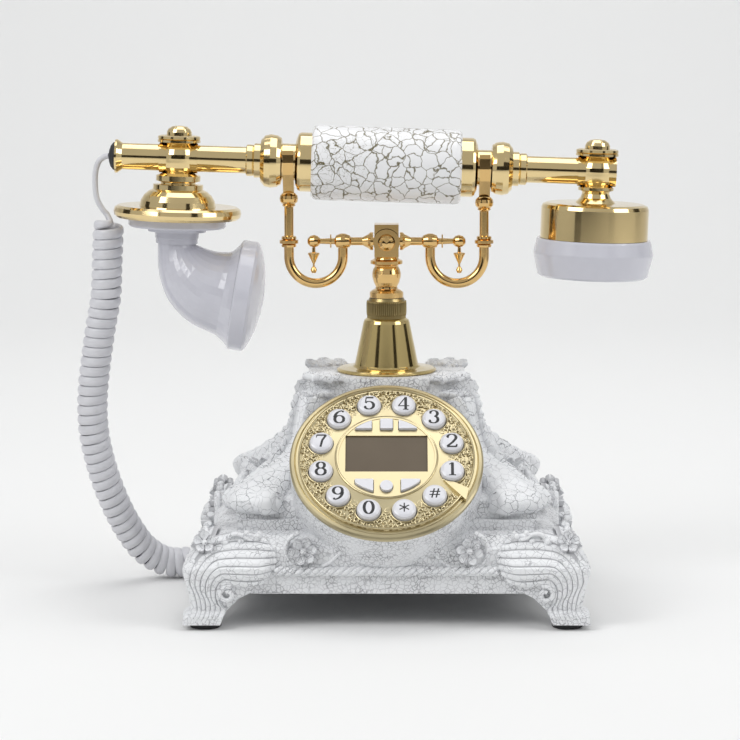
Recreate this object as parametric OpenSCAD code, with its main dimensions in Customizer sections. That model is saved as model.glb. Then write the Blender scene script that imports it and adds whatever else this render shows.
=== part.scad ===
// Ornate cradle telephone: a hollow resin base with a tilted key dial, a gold pillar
// with a sprung cradle, and a gold and resin handset on a curly cord.
// Millimetres, +Z up. The origin is on the table, under the middle of the phone.

/* [Base casting] */
// Half width of the base over its toes
toe_x = 97; // [94:0.5:100]
// Half depth of the base over its toes
toe_y = 90; // [88:0.5:93]
// Height of the platform that carries the pillar
platform_z = 113; // [112:0.5:114]
// Thickness of a rubber foot pad
pad_h = 2.8; // [2:0.1:3]
// Diameter of a rubber foot pad
pad_d = 15; // [12:0.5:16]

/* [Dial] */
// Radius of the dial plate
dial_r = 46.5; // [46:0.1:47]
// Tilt of the dial plate back from level
dial_tilt = 43.6; // [42:0.1:45]
// Radius of the ring of twelve keys
key_ring_r = 32.4; // [32:0.1:33]
// Diameter of a dial key
key_d = 11.5; // [10:0.1:12]
// How far a key goes down when it is pressed
key_travel = 1.2; // [0.8:0.1:1.4]
// Radius of the display panel in the middle of the dial
panel_r = 24; // [23.5:0.1:24.5]
// Width of the display window
window_w = 39.4; // [36:0.1:40]
// Height of the display window
window_h = 21.6; // [20:0.1:22]

/* [Pillar and cradle] */
// Diameter of the flange under the pillar
flange_d = 49.6; // [46:0.2:52]
// Diameter of the cradle's stem
stem_d = 10; // [9:0.5:10.5]
// Height of the cradle's cross rod
rod_z = 178; // [177:0.5:179]
// Distance from the pillar's axis to each fork
fork_x = 48.5; // [48:0.1:49]
// Diameter of the bent hook tube
hook_d = 4.9; // [4:0.1:5.4]
// How far the cradle rises when the handset is lifted
cradle_travel = 4; // [2:0.5:5]

/* [Handset] */
// Height of the handset's axis over the pillar
axis_z = 216; // [215.8:0.1:217]
// Tilt of the handset, right end low
axis_tilt = 1.86; // [1.7:0.02:2]
// Diameter of the grip
grip_d = 37; // [35:0.5:38]
// Length of the grip
grip_l = 74; // [74:0.5:74.5]
// Distance from the middle to the mouthpiece's boss
boss_left = 103; // [102.8:0.1:103.4]
// Distance from the middle to the receiver's boss
boss_right = 104.2; // [103.8:0.1:104.6]
// Diameter of the mouthpiece rim
rim_d = 63.4; // [62:0.2:65]
// Diameter of the ear cap over its ridge
ear_d = 59.5; // [58:0.5:60]

/* [Cord] */
// Diameter of the lead
lead_d = 2.9; // [2.6:0.1:3]
// Outside diameter of the curly cord
curl_d = 15.6; // [14:0.2:16]

/* [Hidden] */
$fn = 96;
frame_y = 4.9;                // the pillar stands this far behind the origin
clear = 0.3;                  // gap between pieces that move past each other
wall = 4;
skirt_x = toe_x - 10;
skirt_y = toe_y - 8;
skirt_z = 16.5;
roof_z = 44;
pad_x = toe_x - 10.5;
pad_y = toe_y - 10.5;
plate_z = 17;                 // underside of the base plate
plate_t = 2.5;
plate_top = plate_z + plate_t;
board_z = 24;
dial_pos = [0, -66, 77.9];
drum_l = 32;
drum_in_r = dial_r - 3.5;
rim_in_r = 41.5;
key_r = key_d / 2;
key_top = 5.3;                // height of a key cap over the rim plane
panel_top = 3.5;
panel_t = 1.5;
window_y = 1.9;
mat_top = -2.6;
mat_t = 1.2;
board_t = 1.6;
cone_z = platform_z + 3.4;
collar_z = cone_z + 23.4;
collar_top = collar_z + 10;
stem_r = stem_d / 2;
stem_foot_z = 98;
hook_r = hook_d / 2;
hook_bend_r = (fork_x - 21.7) / 2;
hook_z = rod_z - 7.6;
neck_r = 8.9;                 // handset neck that lies in a fork
fork_w = 5.4;
fork_left_z = 199.2;
fork_right_z = 197.2;
tube_r = 6.6;
spine_r = 4;
grip_end = grip_l / 2;
cap_tilt = 7.3;
boss_half = 9.5;              // half length of a boss along the handset
tube_end = 134.4;             // open end of the tube that the cord comes out of
grommet_h = 3.2;
// Round points along the cord, on its centreline
lead_route = [[-140.5, 5.5, 219.6], [-143.2, 6, 216.5], [-144.7, 7, 210], [-144.3, 8, 200],
    [-141.6, 8.6, 194], [-139.2, 9, 191], [-138.6, 9, 188.6]];
curl_route = [[-138.5, 9, 188], [-139.5, 10, 168], [-140.5, 11, 150], [-143.5, 12.5, 134],
    [-146.5, 14.5, 115], [-148.5, 17, 96], [-148, 20, 78], [-144.5, 24, 60],
    [-139.5, 28, 44], [-133, 33, 29], [-124.5, 38, 16], [-113, 42, 8.8], [-100, 43, 8.8]];
tail_route = [[-100, 43, 8.8], [-95, 43, 8.8], [-90, 43, 9.4], [-85, 43, 10.8], [-80, 43, 11.5]];
jack_pos = [-72, 43, 11.5];

key_angles = [-15, 15, 45, 75, 105, 135, 165, -165, -135, -105, -75, -45];

resin = "#e8e8e6";
gold = "#d8bf7c";
warm_gold = "#c79a4b";
plate_gold = "#dccb94";
white_plastic = "#d8d8de";
rubber_black = "#26262a";
board_green = "#2f6b46";
steel = "#9a9ca0";

// ---- placing -------------------------------------------------------------------------

module on_pillar(z = 0) translate([0, frame_y, z]) children();
module on_dial(w = 0) on_pillar() translate(dial_pos) rotate([dial_tilt, 0, 0])
    translate([0, 0, w]) children();
module on_handset() on_pillar(axis_z) rotate([0, axis_tilt, 0]) children();
module at_key(i) rotate([0, 0, key_angles[i]]) translate([key_ring_r, 0, 0])
    rotate([0, 0, -key_angles[i]]) children();
module turned(profile) rotate_extrude() polygon(profile);
module along_x() rotate([0, 90, 0]) children();
module both_sides() { children(); mirror([1, 0, 0]) children(); }
module corners(x, y) for (sx = [-1, 1], sy = [-1, 1]) translate([sx * x, sy * y, 0]) children();

// Point of the handset at u along its axis and w above it
function handset_point(u, w) = [u * cos(axis_tilt) + w * sin(axis_tilt), frame_y,
    axis_z - u * sin(axis_tilt) + w * cos(axis_tilt)];

// ---- outlines ------------------------------------------------------------------------

// Half outline of the tower and skirt: top is the half width of the platform
function tower_half(top, skirt) = [[top, platform_z], [top + 1, 105], [top + 2.5, 98],
    [top + 4, 91], [top + 5.5, 84], [top + 8, 77], [top + 14, 70], [top + 24, 63.5],
    [top + 32, 58], [top + 33.5, 49.5], [skirt - 15, 49.5], [skirt - 15, roof_z + 0.5],
    [skirt - 7, roof_z - 0.5], [skirt, 38], [skirt + 0.5, 28], [skirt, skirt_z]];
// Half outline of the hollow inside it
function cavity_half(top, skirt) = [[top - 5, platform_z - wall], [top - 4, 104],
    [top - 2.5, 97], [top - 1, 89.5], [top + 0.5, 82.5], [top + 3, 75], [top + 9, 66.5],
    [top + 18, 60], [top + 26, 55], [top + 28, 48], [top + 28, 40], [skirt - 7, 39],
    [skirt - 5, 36], [skirt - 5, skirt_z - 1]];
// Outline of one cabriole leg: toe is its furthest reach
function leg_half(toe) = [[toe - 35, roof_z], [toe - 17, roof_z - 0.5], [toe - 9, 38],
    [toe - 1.5, 29], [toe - 4, 20], [toe - 5.5, 9], [toe - 0.4, 6.5], [toe, pad_h],
    [toe - 18, pad_h], [toe - 20, 8], [toe - 27, 15], [toe - 31, 17], [toe - 35, 20]];
function reversed(p) = [for (i = [len(p) - 1:-1:0]) p[i]];
function mirrored(p) = concat([for (q = p) [-q[0], q[1]]], reversed(p));

module across_x(depth) rotate([90, 0, 0]) linear_extrude(depth, center = true) children();
module across_y(depth) rotate([90, 0, 90]) linear_extrude(depth, center = true) children();
module crossed(outline_x, outline_y) intersection() {
    across_x(2 * toe_y + 10) polygon(outline_x);
    across_y(2 * toe_x + 10) polygon(outline_y);
}

// ---- swept tubes ---------------------------------------------------------------------

function spline(a, b, c, d, t) = 0.5 * (2 * b + (c - a) * t + (2 * a - 5 * b + 4 * c - d) * t * t
    + (3 * b - a - 3 * c + d) * t * t * t);
function smooth(p, steps) = let (n = len(p) - 1) concat([for (i = [0:n - 1], k = [0:steps - 1])
    spline(p[max(i - 1, 0)], p[i], p[i + 1], p[min(i + 2, n)], k / steps)], [p[n]]);
function unit(v) = v / norm(v);
function heading(p, i) = unit(p[min(i + 1, len(p) - 1)] - p[max(i - 1, 0)]);
function ring(c, along, r, sides) = let (u = unit(cross(along, [0, 1, 0])), v = cross(along, u))
    [for (k = [0:sides - 1]) c + r * (cos(360 * k / sides) * u + sin(360 * k / sides) * v)];
function skin(rings, sides) = concat([[for (k = [0:sides - 1]) k]],
    [for (i = [0:rings - 2], k = [0:sides - 1]) let (a = i * sides, n = (k + 1) % sides)
        [a + k, a + k + sides, a + n + sides, a + n]],
    [[for (k = [sides - 1:-1:0]) (rings - 1) * sides + k]]);
module swept(route, d, sides, steps) {
    path = smooth(route, steps);
    polyhedron([for (i = [0:len(path) - 1]) each ring(path[i], heading(path, i), d / 2, sides)],
        skin(len(path), sides));
}

// ---- base ----------------------------------------------------------------------------

module base_casting() color(resin) on_pillar() union() {
    difference() {
        union() {
            crossed(mirrored(tower_half(39, skirt_x)), mirrored(tower_half(30, skirt_y)));
            drum_outside();
        }
        crossed(mirrored(cavity_half(39, skirt_x)), mirrored(cavity_half(30, skirt_y)));
        translate(dial_pos) rotate([dial_tilt, 0, 0]) translate([0, 0, -drum_l + 2])
            cylinder(r = drum_in_r, h = drum_l + 10);
        translate([0, 0, platform_z - wall - 1]) cylinder(r = stem_r + 2, h = wall + 2);
        translate([30, skirt_y - 8, 22]) cube([14, 12, 12]);
    }
    both_sides() {
        crossed(leg_half(toe_x), leg_half(toe_y));
        mirror([0, 1, 0]) crossed(leg_half(toe_x), leg_half(toe_y));
    }
    screw_bosses();
}
module drum_outside() translate(dial_pos) rotate([dial_tilt, 0, 0])
    translate([0, 0, -drum_l]) cylinder(r = dial_r - 0.3, h = drum_l - 1.5);
module screw_bosses() difference() {
    corners(52, skirt_y - 9.5) translate([0, 0, plate_top]) cylinder(r = 5, h = 20.5);
    corners(52, skirt_y - 9.5) translate([0, 0, plate_top - 1]) cylinder(r = 1.5, h = 14);
}

module base_plate() color(steel) on_pillar() difference() {
    translate([0, 0, plate_z]) linear_extrude(plate_t) {
        square([2 * (toe_x - 35.5), 2 * (skirt_y - 5.3)], center = true);
        square([2 * (skirt_x - 5.3), 2 * (toe_y - 35.5)], center = true);
    }
    corners(52, skirt_y - 9.5) translate([0, 0, plate_z - 1]) cylinder(r = 1.6, h = plate_t + 2);
}

module base_screws() color(steel) on_pillar() corners(52, skirt_y - 9.5) {
    translate([0, 0, plate_z - 1.8]) turned([[0, 0], [2, 0], [3, 0.8], [3, 1.8], [0, 1.8]]);
    translate([0, 0, plate_z]) cylinder(r = 1.45, h = 14);
}

module foot_pads() color(rubber_black) on_pillar() corners(pad_x, pad_y)
    turned([[0, 0], [pad_d / 2 - 0.6, 0], [pad_d / 2, 0.6], [pad_d / 2, pad_h], [0, pad_h]]);

module main_board() color(board_green) on_pillar() {
    translate([-45, -30, board_z]) cube([90, 78, board_t]);
    for (x = [-38, 38], y = [-24, 42]) translate([x, y, plate_top])
        cylinder(r = 2.5, h = board_z - plate_top);
    translate([-20, 0, board_z + board_t]) cube([16, 16, 3]);
    translate([14, 12, board_z + board_t]) cylinder(r = 5, h = 10);
}

module ringer() color(rubber_black) on_pillar() translate([-60, 0, plate_top])
    turned([[0, 0], [12, 0], [12, 8], [10.5, 9.5], [2, 9.5], [2, 8], [0, 8]]);

module hook_switch() color(rubber_black) on_pillar() {
    translate([-14, -5, 85]) cube([28, 10, stem_foot_z - clear - 85]);
    for (x = [-11.5, 11.5]) translate([x, 0, stem_foot_z - clear])
        cylinder(r = 2.5, h = platform_z - wall - stem_foot_z + clear);
}

module lift_spring() color(steel) on_pillar(platform_z)
    turned([[stem_r + 1, 0], [stem_r + 2.2, 0], [stem_r + 2.2, 17], [stem_r + 1, 17]]);

// ---- dial ----------------------------------------------------------------------------

// A key's cap, with a flange under the plate that keeps it in
module round_key(r, top, flange_top) turned([[0, flange_top - 0.8], [r + 1.2, flange_top - 0.8],
    [r + 1.2, flange_top], [r, flange_top], [r, top - 1.6], [r - 0.5, top - 0.6],
    [r - 1.6, top - 0.1], [r - 3, top], [0, top]]);
module dial_key(i) color(white_plastic) on_dial() at_key(i) round_key(key_r, key_top, -0.4);

// Outline of a function key: a bite out of the display panel's circle, grown by g
module panel_bite(x0, x1, y0, y1, g = 0) intersection() {
    circle(r = 22.1 + g);
    translate([x0 - g, y0 - g]) square([x1 - x0 + 2 * g, y1 - y0 + 2 * g]);
}
module top_left_outline(g = 0) panel_bite(-15.6, -7.1, 16.2, 22.5, g);
module top_mid_outline(g = 0) panel_bite(-3, 3, 16.2, 22.5, g);
module top_right_outline(g = 0) panel_bite(5.9, 14.6, 16.2, 22.5, g);
module low_left_outline(g = 0) panel_bite(-15, -6.3, -22.5, -14.2, g);
module low_mid_outline(g = 0) translate([0, -18]) circle(r = 3 + g);
module low_right_outline(g = 0) panel_bite(6.9, 15.9, -22.5, -14.2, g);

module function_key(outline_h = 4.6) color(white_plastic) on_dial(0.4)
    linear_extrude(outline_h) children();

module key_holes() {
    for (i = [0:11]) at_key(i) translate([0, 0, -5]) cylinder(r = key_r + clear, h = 20);
}
module dial_plate() color(plate_gold) on_dial() difference() {
    turned([[panel_r + 0.05, panel_top - 0.2], [panel_r + 0.05, panel_top - 1.7],
        [rim_in_r, -0.4], [rim_in_r + 1.4, -1.5], [dial_r, -1.5], [dial_r, 0.2], [dial_r - 0.8, 0.9],
        [rim_in_r + 2.8, 1.2], [rim_in_r + 2.4, 0.8], [rim_in_r + 2, 1.2],
        [rim_in_r, 1.4], [rim_in_r - 1, 1.1]]);
    key_holes();
}

module centre_panel() color(plate_gold) on_dial(panel_top - panel_t) difference() {
    turned([[0, 0], [panel_r, 0], [panel_r, panel_t + 0.3], [panel_r - 0.9, panel_t + 0.3],
        [panel_r - 1, panel_t], [0, panel_t]]);
    translate([-window_w / 2, window_y - window_h / 2, -1]) cube([window_w, window_h, 5]);
    translate([0, 0, -1]) linear_extrude(5) {
        top_left_outline(clear);
        top_mid_outline(clear);
        top_right_outline(clear);
        low_left_outline(clear);
        low_mid_outline(clear);
        low_right_outline(clear);
    }
}

module display() color("#5d5448") on_dial() {
    translate([-window_w / 2, window_y - window_h / 2, 0]) cube([window_w, window_h, 2.7]);
    translate([-window_w / 2 - 1, -12.8, -1.6]) cube([window_w + 2, 28, 1.6]);
}

module key_mat() color("#b9b9bd") on_dial(mat_top - mat_t) cylinder(r = 40, h = mat_t);

module keypad_board() color(board_green) on_dial(mat_top - mat_t - board_t)
    cylinder(r = drum_in_r - 0.2, h = board_t);

// Smooth wedge that points in from the rim, low on the right
module finger_stop() color(gold) on_dial() difference() {
    linear_extrude(3.4) polygon([[26.9, -13.2], [28.9, -13.2], [39.2, -18.6], [37.6, -25.4]]);
    for (i = [0, 11]) at_key(i) translate([0, 0, -5]) cylinder(r = key_r + 2 * clear, h = 20);
    turned([[panel_r, -1], [panel_r + 0.1, 3.35], [rim_in_r - 1, 1.15], [rim_in_r, 1.45],
        [dial_r + 1, 1.3], [dial_r + 1, -1]]);
}

// ---- pillar --------------------------------------------------------------------------

module pillar_flange() color(gold) on_pillar(platform_z) difference() {
    turned([[0, 0], [flange_d / 2 - 0.6, 0], [flange_d / 2, 0.6], [flange_d / 2, 1.2],
        [flange_d / 2 - 1, 1.8], [20, 2.1], [17, 2.6], [16.4, 3.4], [0, 3.4]]);
    translate([0, 0, -1]) cylinder(r = stem_r + 4, h = 6);
}

module pillar_cone() color(gold) on_pillar(cone_z)
    turned([[14.3, 0], [15.9, 0], [11.6, 21], [11.1, 22.4], [9.7, 23.4], [stem_r + 1, 23.4],
        [stem_r + 1, 21.9], [9.6, 21.4]]);

module knurled_collar() color("#8d7844") on_pillar(collar_z) difference() {
    union() {
        linear_extrude(8.6) polygon([for (k = [0:119])
            (k % 2 == 0 ? 9.65 : 9.25) * [cos(3 * k), sin(3 * k)]]);
        translate([0, 0, 8.6]) turned([[0, 0], [9.2, 0], [8.6, 1.4], [0, 1.4]]);
    }
    translate([0, 0, -1]) cylinder(r = stem_r + 0.05, h = 12);
}

// ---- cradle --------------------------------------------------------------------------

module cradle_stem() color(warm_gold) on_pillar() difference() {
    union() {
        turned([[0, stem_foot_z], [2, stem_foot_z], [3, stem_foot_z + 1], [3, 106], [stem_r, 106],
            [stem_r, 130.3], [stem_r + 2.4, 130.3], [stem_r + 2.4, 131.8], [stem_r, 131.8],
            [stem_r, collar_top + clear], [8.4, collar_top + clear], [8.4, 152.6], [7.2, 153.6],
            [5.6, 154.4], [5.4, 155.4], [6.4, 157.6], [7.1, 160.2], [7.2, 162], [6.7, 164],
            [5.8, 165.6], [6.2, 166.2], [8, 166.9], [8, 168.4], [6.2, 169.2], [5.5, 171],
            [5.3, 174], [0, 174]]);
        translate([-6, -6, 170.5]) cube([12, 12, 16.2]);
        translate([0, 0, rod_z]) rotate([90, 0, 0]) {
            translate([0, 0, -8.4]) cylinder(r = 6.55, h = 16.8);
            turned([[0, 0], [4.2, 0], [4.2, 9], [3.6, 11], [2.2, 12.4], [0, 13]]);
        }
    }
    translate([-10, 0, rod_z]) along_x() cylinder(r = 2, h = 20);
}

module cross_rod() color(warm_gold) on_pillar(rod_z) both_sides() along_x()
    turned([[0, 0], [2, 0], [2, 6.6], [4.5, 6.7], [4.5, 8], [3.4, 9.2], [2.5, 11], [2, 12],
        [2, 17.6], [3, 18.4], [3.8, 20.6], [3.9, 21.7], [3.8, 22.8], [3, 25], [1.5, 25.8],
        [1.5, 27.2], [3.4, 27.4], [3.4, 28], [1.5, 28.2], [1.3, 32.9], [2.6, 34.2], [3.2, 36],
        [2.6, 38], [1.3, 39.2], [0, 39.4]]);

module drop_finials() color(warm_gold) on_pillar() both_sides() translate([36.2, 0, 0])
    turned([[0, 162], [1, 162.2], [1.65, 163.6], [1, 165], [0.5, 165.4], [0.5, 166.7],
        [2.9, 171.6], [2.9, 172.2], [0.9, 172.6], [0.8, 174.9], [0, 174.9]]);

// One U hook: from the cross rod's ball down, round and up to the fork's ball
module hook(top) {
    translate([fork_x - hook_bend_r, 0, hook_z]) rotate([-90, 0, 0])
        rotate_extrude(angle = 180) translate([hook_bend_r, 0]) circle(r = hook_r);
    translate([fork_x - 2 * hook_bend_r, 0, hook_z]) cylinder(r = hook_r, h = 4.6);
    translate([fork_x, 0, 0])
        turned([[0, hook_z], [hook_r, hook_z], [hook_r, 175], [3.6, 175.2], [3.8, 176.2],
            [3.2, 176.6], [4.7, 177], [4.7, 178.6], [3.2, 179], [3.8, 179.4], [3.6, 180.4],
            [2.3, 180.8], [2.3, top - 4.2], [3.4, top - 3.4], [3, top - 2.8], [4.3, top - 1.6],
            [4.6, top], [4.3, top + 1.6], [3, top + 2.9], [0, top + 3.4]]);
}
module cradle_hooks() color(warm_gold) on_pillar() {
    hook(fork_right_z);
    mirror([1, 0, 0]) hook(fork_left_z);
}

// Flat outline of a fork, seen along the handset: neck is the height of the handset's axis
module fork_outline(ball, neck, tip) difference() {
    union() {
        polygon([[-2.6, ball], [2.6, ball], [3, ball + 3], [10.5, neck - 6], [12.1, neck],
            [12.1, tip - 2], [11, tip], [9.4, tip], [-9.4, tip], [-11, tip], [-12.1, tip - 2],
            [-12.1, neck], [-10.5, neck - 6], [-3, ball + 3]]);
    }
    translate([0, neck]) circle(r = neck_r + 0.5);
    translate([-neck_r - 0.5, neck]) square([2 * neck_r + 1, 30]);
}
module fork(x, ball, tip) translate([x, 0, 0]) difference() {
    across_y(fork_w) fork_outline(ball, axis_z - x * tan(axis_tilt), tip);
    translate([0, 0, ball]) turned([[0, -5], [3.4, -3.4], [3, -2.8], [4.3, -1.6], [4.6, 0],
        [4.3, 1.6], [3, 2.9], [0, 3.4]]);
}
module handset_forks() color(warm_gold) on_pillar() {
    fork(-fork_x, fork_left_z, 223.5);
    fork(fork_x, fork_right_z, 221.5);
}

// ---- handset -------------------------------------------------------------------------

module grip_sleeve() color(resin) on_handset() along_x()
    turned([[14.5, -grip_end], [16.6, -grip_end], [18, -grip_end + 1], [grip_d / 2, -grip_end + 2.8],
        [grip_d / 2, grip_end - 2.8], [18, grip_end - 1], [16.6, grip_end], [14.5, grip_end]]);

module spine_rod() color(steel) on_handset() translate([-69, 0, 0]) along_x()
    cylinder(r = spine_r, h = 138);

// Turned brass end of the grip: spigot, collar, neck for the fork, bulb and rings
module grip_ferrules() color(gold) on_handset() both_sides() along_x()
    turned([[spine_r, grip_end - 3], [14.4, grip_end - 3], [14.4, grip_end], [14.65, grip_end],
        [14.65, 42.6], [14, 43.8], [11.4, 44.9], [neck_r, 45.3], [neck_r, 51.6], [11.6, 52.2],
        [12.8, 54.2], [13.3, 57.5], [12.6, 60.4], [10.4, 62.3], [8.5, 62.6], [8.5, 65.4],
        [7.6, 66], [7.85, 66.4], [7.85, 69], [7.4, 69.5], [spine_r, 69.5]]);

module handset_tubes() color(gold) on_handset() {
    translate([69.5, 0, 0]) along_x() tube(boss_right - boss_half - 69.5);
    translate([boss_half - boss_left, 0, 0]) along_x() tube(boss_left - boss_half - 69.5);
    translate([-tube_end, 0, 0]) along_x() turned([[tube_r - 1.2, 0], [8.3, 0], [8.4, 1],
        [7.4, 2.4], [tube_r, 3.6], [tube_r, tube_end - boss_left - boss_half],
        [tube_r - 1.2, tube_end - boss_left - boss_half]]);
}
module tube(l) turned([[tube_r - 1.2, 0], [tube_r, 0], [tube_r, l], [tube_r - 1.2, l]]);
module at_bosses() for (x = [-boss_left, boss_right]) translate([x, 0, 0]) children();

module tee_bosses() color(gold) on_handset() at_bosses() {
    turned([[0, -7.4], [6.6, -7.4], [7, -6.6], [8.4, -4.6], [9.2, -2], [9.3, 0], [9.2, 2],
        [8.4, 4.6], [7, 6.6], [6.6, 7.3], [0, 7.3]]);
    translate([-boss_half, 0, 0]) along_x() cylinder(r = 7.4, h = 2 * boss_half);
}

module top_finials() color(gold) on_handset() at_bosses()
    turned([[0, 7.4], [8.6, 7.4], [10.6, 7.9], [10.6, 9], [10, 9.3], [10.6, 9.6], [10.4, 10.8],
        [9, 11.3], [6.2, 11.5], [6.2, 12.8], [5.4, 14.4], [3.6, 15.6], [1.6, 16], [0, 16]]);

module mouthpiece_bell() color(gold) on_handset() translate([-boss_left, 0, 0]) difference() {
    turned([[0, -7.4], [8, -7.4], [11, -8.6], [11, -11.2], [8.6, -12], [8.6, -12.6],
        [12.4, -13], [12.4, -15.4], [14.5, -16.4], [16.8, -18.4], [18.4, -21.2], [18.9, -23.8],
        [29.5, -23.8], [rim_d / 2 - 0.5, -24.8], [rim_d / 2, -26.8], [rim_d / 2 - 0.4, -28.6],
        [30, -29.8], [27, -30.2], [0, -30.2]]);
    turned([[0, -18], [10, -18], [14.6, -21.6], [16, -26], [22, -26.6], [22, -31], [0, -31]]);
}

module horn_collar() color(white_plastic) on_handset() translate([-boss_left, 0, 0])
    turned([[6.4, -30.3], [24.2, -30.3], [24.2, -33.4], [23.4, -34.2], [14.6, -34.4], [14.4, -36.4],
        [10.8, -36.8], [10.8, -39.6], [10.4, -39.8], [10.4, -42.2], [6.4, -42.2]]);

// Inner and outer edge points of the horn's round sections, from its collar to its mouth
horn_inner = [[-93.7, -42.2], [-93.2, -42.9], [-91.4, -43.5], [-89, -44.4], [-86.2, -45.2], [-82.3, -46],
    [-78.6, -46], [-74.8, -45.4], [-70.2, -40.6]];
horn_outer = [[-112.3, -42.2], [-112.3, -46.5], [-112, -54.4], [-110.2, -62.7], [-106.4, -71.1],
    [-99.2, -79.1], [-91.6, -83.8], [-82.4, -87.6], [-76.8, -93.2]];
module mouthpiece_horn() color(white_plastic) on_handset() {
    a = smooth(horn_inner, 2);
    b = smooth(horn_outer, 2);
    sides = 32;
    // The outside runs to the mouth and the inside, 2 mm smaller, runs back to the collar
    rows = [for (i = [0:len(a) - 1]) [i, 0], for (i = [len(a) - 1:-1:0]) [i, 2]];
    polyhedron([for (row = rows) let (p = a[row[0]], q = b[row[0]], c = (p + q) / 2,
        u = unit(q - p), r = norm(q - p) / 2 - row[1]) each [for (k = [0:sides - 1])
        [c[0] + r * u[0] * cos(360 * k / sides), r * sin(360 * k / sides),
            c[1] + r * u[1] * cos(360 * k / sides)]]],
        [for (i = [0:len(rows) - 1], k = [0:sides - 1]) let (a = i * sides,
            b = (i + 1) % len(rows) * sides, n = (k + 1) % sides) [a + k, b + k, b + n, a + n]]);
}

module mouth_cap() color(white_plastic) on_handset() translate([-73.5, 0, -66.9])
    rotate([0, 90 + cap_tilt, 0]) difference() {
        turned([[0, 0.1], [26.9, 0.1], [27.5, 0.8], [27.5, 7.6], [26.2, 9], [22, 10.8], [16, 12.8],
            [8, 14.2], [0, 14.7]]);
        turned([[0, -1], [24.8, -1], [24.8, 7.2], [20, 9.2], [14, 11], [0, 12.6]]);
        for (k = [0:5]) rotate([0, 0, 60 * k]) translate([5, 0, 8]) cylinder(r = 1, h = 8);
    }

module microphone() color(rubber_black) on_handset() translate([-73.5, 0, -66.9])
    rotate([0, 90 + cap_tilt, 0]) turned([[0, 0.4], [24.6, 0.4], [24.6, 2], [12, 2.2], [12, 8],
        [11, 9], [0, 9]]);

module receiver_cup() color(gold) on_handset() translate([boss_right, 0, 0])
    turned([[0, -7.4], [7.6, -7.4], [8.8, -7.8], [8.8, -9.2], [7, -9.8], [6.8, -11], [7.6, -13],
        [10, -15.4], [24, -15.7], [26, -16.5], [26.75, -18.2], [26.75, -33.3], [25.2, -33.3],
        [25.2, -18.4], [24.2, -17.4], [8, -17.2], [0, -17.2]]);

module ear_cap() color(white_plastic) on_handset() translate([boss_right, 0, 0]) difference() {
    turned([[22.8, -32.8], [25, -32.8], [25, -33.4], [28, -33.4], [28.5, -34.2],
        [ear_d / 2, -40.2], [ear_d / 2, -41], [27.4, -51.4], [26, -52.4], [22, -52.2],
        [8, -49.6], [0, -49.4], [0, -47.6], [8, -47.8], [22.8, -50]]);
    for (k = [0:5]) rotate([0, 0, 60 * k]) translate([6, 0, -54]) cylinder(r = 1, h = 8);
}

module receiver_capsule() color(rubber_black) on_handset() translate([boss_right, 0, 0])
    turned([[0, -34], [22.6, -34], [22.6, -46.6], [0, -46.6]]);

// ---- cord ----------------------------------------------------------------------------

module cord_grommet() color(rubber_black) on_handset() translate([-tube_end, 0, 0])
    rotate([0, -90, 0]) turned([[0, -3], [5.3, -3], [5.3, 0], [7, 0], [6.8, 1], [5.2, 2.3],
        [3, grommet_h - 0.2], [1.6, grommet_h], [0, grommet_h]]);

module cord_lead() color("#c9c9ce")
    swept(concat([handset_point(-tube_end - grommet_h, 0)], lead_route), lead_d, 8, 3);

module cord_curl() color("#c9c9ce") swept(curl_route, curl_d, 12, 2);

module cord_tail() color("#c9c9ce") swept(tail_route, lead_d, 8, 2);

module cord_plug() color("#e4e4e8") translate(jack_pos) translate([-8, -3.8, -3.2])
    cube([15, 7.6, 6.4]);

module handset_jack() color(white_plastic) translate(jack_pos) difference() {
    translate([0, -7, -5.1]) cube([14, 14, plate_z - jack_pos[2] + 5.1]);
    translate([-1, -4, -3.4]) cube([11, 8, 6.8]);
}

module line_jack() color(white_plastic) on_pillar() difference() {
    translate([30, skirt_y - 8, 22]) cube([14, 9, 12]);
    translate([33, skirt_y - 6, 24.5]) cube([8, 9, 6.8]);
}

// ---- drawing -------------------------------------------------------------------------

base_casting();
base_plate();
base_screws();
foot_pads();
main_board();
ringer();
hook_switch();
keypad_board();
key_mat();
dial_plate();
centre_panel();
display();
finger_stop();
pillar_flange();
pillar_cone();
knurled_collar();
line_jack();
handset_jack();
cord_curl();
cord_tail();
cord_plug();
lift_spring();
cradle_stem();
cross_rod();
drop_finials();
cradle_hooks();
handset_forks();
grip_sleeve();
spine_rod();
grip_ferrules();
handset_tubes();
tee_bosses();
top_finials();
mouthpiece_bell();
horn_collar();
mouthpiece_horn();
mouth_cap();
microphone();
receiver_cup();
ear_cap();
receiver_capsule();
cord_grommet();
cord_lead();
dial_key(0);  // key_1
dial_key(1);  // key_2
dial_key(2);  // key_3
dial_key(3);  // key_4
dial_key(4);  // key_5
dial_key(5);  // key_6
dial_key(6);  // key_7
dial_key(7);  // key_8
dial_key(8);  // key_9
dial_key(9);  // key_0
dial_key(10);  // key_star
dial_key(11);  // key_hash
function_key() top_left_outline();  // key_top_left
function_key() top_mid_outline();  // key_top_mid
function_key() top_right_outline();  // key_top_right
function_key() low_left_outline();  // key_low_left
function_key() low_mid_outline();  // key_low_mid
function_key() low_right_outline();  // key_low_right
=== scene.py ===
import math

import bmesh
import bpy
import numpy as np
from mathutils import Matrix, Vector
from mathutils.bvhtree import BVHTree


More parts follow.
